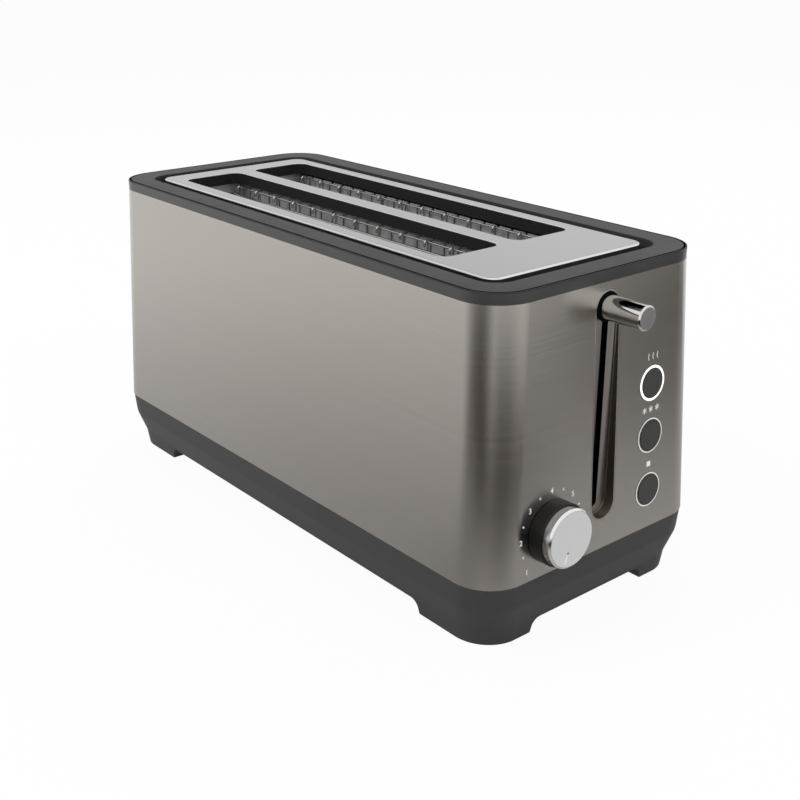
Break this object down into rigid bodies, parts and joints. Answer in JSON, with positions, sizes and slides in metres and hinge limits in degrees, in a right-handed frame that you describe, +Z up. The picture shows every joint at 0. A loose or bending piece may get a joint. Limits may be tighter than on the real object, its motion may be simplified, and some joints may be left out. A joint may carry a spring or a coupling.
{
  "type": "long slot toaster",
  "caption": "Long slot toaster with a leaning brushed steel body, dark collar and base, side lever, browning knob, ringed push buttons and a pull-out crumb tray.",
  "frame": {"origin": "bottom centre of the whole toaster, lever and knob counted, on the surface it stands on", "axes": "+X towards the control panel at the end, +Y across the two slots, +Z up"},
  "size_m": [0.405, 0.1712, 0.1941],
  "materials": {
    "shell_steel": "warm grey brushed stainless steel",
    "collar_plastic": "dark grey moulded plastic",
    "plate_steel": "light brushed stainless steel",
    "liner_black": "black heat resistant moulding",
    "base_plastic": "dark grey moulded plastic",
    "pad_rubber": "soft black rubber",
    "screw_steel": "zinc plated steel",
    "chassis_steel": "plain galvanised sheet",
    "reflector_steel": "bright plain sheet",
    "rod_steel": "ground steel rod",
    "mica": "pressed mica sheet",
    "heater_wire": "dark oxidised heater wire",
    "guard_wire": "plated spring wire",
    "carriage_steel": "zinc plated sheet",
    "bush_plastic": "natural acetal",
    "spring_steel": "spring steel",
    "lever_chrome": "polished chrome",
    "magnet_iron": "laminated iron",
    "coil_copper": "enamelled copper winding",
    "knob_black": "black moulding with a light sheen",
    "cap_aluminium": "brushed face with a bright turned edge",
    "electric_black": "black moulding",
    "circuit_green": "green circuit board",
    "ring_white": "white light guide",
    "button_grey": "dark grey moulding",
    "tray_steel": "plain sheet",
    "terminal_white": "natural moulding"
  },
  "bodies": {
    "frame": {"steel_shell": "shell_steel", "top_collar": "collar_plastic", "top_plate": "plate_steel", "slot_frame": "liner_black", "base_moulding": "base_plastic", "foot_pad_front_left": "pad_rubber", "foot_pad_front_right": "pad_rubber", "foot_pad_rear_left": "pad_rubber", "foot_pad_rear_right": "pad_rubber", "base_screws": "screw_steel", "frame_screws": "screw_steel", "chassis_deck": "chassis_steel", "rear_chassis_plate": "chassis_steel", "front_chassis_plate": "chassis_steel", "side_reflector_left": "reflector_steel", "side_reflector_right": "reflector_steel", "guide_rod": "rod_steel", "heater_board_left": "mica", "heater_winding_left": "heater_wire", "heater_board_centre": "mica", "heater_winding_centre": "heater_wire", "heater_board_right": "mica", "heater_winding_right": "heater_wire", "magnet_core": "magnet_iron", "magnet_coil": "coil_copper", "carriage_spring": "spring_steel", "lever_channel": "shell_steel", "potentiometer": "electric_black", "knob_circuit_board": "circuit_green", "button_circuit_board": "circuit_green", "circuit_standoffs": "screw_steel", "reheat_light_ring": "ring_white", "defrost_light_ring": "ring_white", "stop_light_ring": "ring_white", "button_switches": "electric_black", "cord_gland": "electric_black", "terminal_block": "terminal_white", "power_switch": "electric_black"},
    "carriage": {"carriage_plate": "carriage_steel", "guide_bush": "bush_plastic", "magnet_keeper": "magnet_iron", "bread_rack_left": "carriage_steel", "bread_rack_right": "carriage_steel", "lever_arm": "carriage_steel", "lever_knob": "lever_chrome"},
    "guard_left_inner": {"bread_guard_left_inner": "guard_wire"},
    "guard_left_outer": {"bread_guard_left_outer": "guard_wire"},
    "guard_right_inner": {"bread_guard_right_inner": "guard_wire"},
    "guard_right_outer": {"bread_guard_right_outer": "guard_wire"},
    "browning_knob": {"knob_base": "knob_black", "knob_cap": "cap_aluminium", "knob_spindle": "screw_steel"},
    "reheat_button": {"reheat_button": "button_grey"},
    "defrost_button": {"defrost_button": "button_grey"},
    "stop_button": {"stop_button": "button_grey"},
    "crumb_tray": {"crumb_tray": "tray_steel", "tray_grip": "base_plastic"}
  },
  "joints": [
    {"name": "carriage_slide", "type": "slide", "parent": "frame", "child": "carriage", "axis": [0, 0, -1], "range_m": [0, 0.106], "stiffness_N_per_m": 40, "springref_m": -0.12, "deforming": ["carriage_spring"]},
    {"name": "guard_left_inner_slide", "type": "slide", "parent": "frame", "child": "guard_left_inner", "axis": [0, -1, 0], "range_m": [0, 0.005]},
    {"name": "guard_left_outer_slide", "type": "slide", "parent": "frame", "child": "guard_left_outer", "axis": [0, 1, 0], "range_m": [0, 0.005]},
    {"name": "guard_right_inner_slide", "type": "slide", "parent": "frame", "child": "guard_right_inner", "axis": [0, 1, 0], "range_m": [0, 0.005]},
    {"name": "guard_right_outer_slide", "type": "slide", "parent": "frame", "child": "guard_right_outer", "axis": [0, -1, 0], "range_m": [0, 0.005]},
    {"name": "browning_turn", "type": "hinge", "parent": "frame", "child": "browning_knob", "pos_m": [0.18239, -0.0385, 0.06277], "axis": [-0.9989, 0, -0.047], "range_deg": [0, 270]},
    {"name": "reheat_press", "type": "slide", "parent": "frame", "child": "reheat_button", "axis": [-0.9989, 0, -0.047], "range_m": [0, 0.0012], "stiffness_N_per_m": 900, "springref_m": -0.0008},
    {"name": "defrost_press", "type": "slide", "parent": "frame", "child": "defrost_button", "axis": [-0.9989, 0, -0.047], "range_m": [0, 0.0012], "stiffness_N_per_m": 900, "springref_m": -0.0008},
    {"name": "stop_press", "type": "slide", "parent": "frame", "child": "stop_button", "axis": [-0.9989, 0, -0.047], "range_m": [0, 0.0012], "stiffness_N_per_m": 900, "springref_m": -0.0008},
    {"name": "tray_slide", "type": "slide", "parent": "frame", "child": "crumb_tray", "axis": [-1, 0, 0], "range_m": [0, 0.3]}
  ],
  "couplings": [
    {"joint": "guard_left_inner_slide", "follows": "carriage_slide", "ratio": 0.04717},
    {"joint": "guard_left_outer_slide", "follows": "carriage_slide", "ratio": 0.04717},
    {"joint": "guard_right_inner_slide", "follows": "carriage_slide", "ratio": 0.04717},
    {"joint": "guard_right_outer_slide", "follows": "carriage_slide", "ratio": 0.04717}
  ]
}
